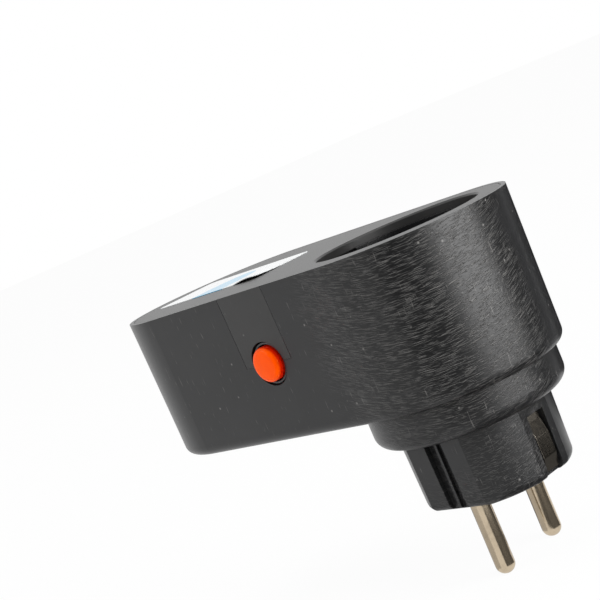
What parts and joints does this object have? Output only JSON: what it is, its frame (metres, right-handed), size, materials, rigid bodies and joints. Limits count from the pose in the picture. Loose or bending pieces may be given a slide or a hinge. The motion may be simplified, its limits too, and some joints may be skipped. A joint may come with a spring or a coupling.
{
  "type": "overload protection socket adapter",
  "caption": "Plug-in socket adapter: a long rounded housing with an earthed plug under one end, an earthed socket above it and a reset button for its overload breaker.",
  "frame": {"origin": "centre of the plug's flat face, on the common axis of plug and socket", "axes": "+Z out of the socket, away from the wall; +X away from the long end of the housing; the reset button is on the -Y side"},
  "size_m": [0.121, 0.0562, 0.0838],
  "materials": {
    "housing_black": "charcoal moulded plastic, fine texture",
    "insert_black": "charcoal moulded plastic, smooth",
    "label_white": "coated label with a cyan block",
    "carrier_grey": "grey heat-resistant plastic",
    "shutter_teal": "teal plastic",
    "spring_steel": "spring wire",
    "contact_brass": "stamped brass",
    "strap_nickel": "nickel-plated strip",
    "pin_nickel": "nickel-plated brass",
    "breaker_black": "phenolic moulding",
    "bush_grey": "dark grey plastic",
    "button_orange": "glossy orange-red plastic",
    "slider_white": "insulating plastic",
    "bimetal": "bimetal strip with a silver contact",
    "wire_brown": "brown insulation",
    "screw_steel": "zinc-plated steel"
  },
  "bodies": {
    "housing": {"base_shell": "housing_black", "front_cover": "housing_black", "rating_label": "label_white", "socket_insert": "insert_black", "contact_carrier": "carrier_grey", "line_socket_contact": "contact_brass", "neutral_socket_contact": "contact_brass", "neutral_link": "contact_brass", "shutter_spring": "spring_steel", "earth_strap_right": "strap_nickel", "earth_strap_left": "strap_nickel", "earth_bridge": "strap_nickel", "earth_rivets": "contact_brass", "line_pin": "pin_nickel", "neutral_pin": "pin_nickel", "pin_retainer": "carrier_grey", "breaker_case": "breaker_black", "breaker_lid": "breaker_black", "breaker_rivets": "contact_brass", "button_bush": "bush_grey", "button_spring": "spring_steel", "line_terminal": "contact_brass", "load_terminal": "contact_brass", "bimetal_strip": "bimetal", "supply_receptacle": "contact_brass", "load_receptacle": "contact_brass", "supply_wire": "wire_brown", "load_wire": "wire_brown", "cover_screws": "screw_steel", "insert_screws": "screw_steel", "retainer_screws": "screw_steel"},
    "button": {"reset_button": "button_orange", "trip_slider": "slider_white"},
    "shutter": {"shutter": "shutter_teal"}
  },
  "joints": [
    {"name": "reset_button_slide", "type": "slide", "parent": "housing", "child": "button", "axis": [0, -1, 0], "range_m": [0, 0.0028], "stiffness_N_per_m": 400, "deforming": ["button_spring", "bimetal_strip"]},
    {"name": "shutter_slide", "type": "slide", "parent": "housing", "child": "shutter", "axis": [1, 0, 0], "range_m": [0, 0.0065], "stiffness_N_per_m": 150, "springref_m": -0.002, "deforming": ["shutter_spring"]}
  ]
}
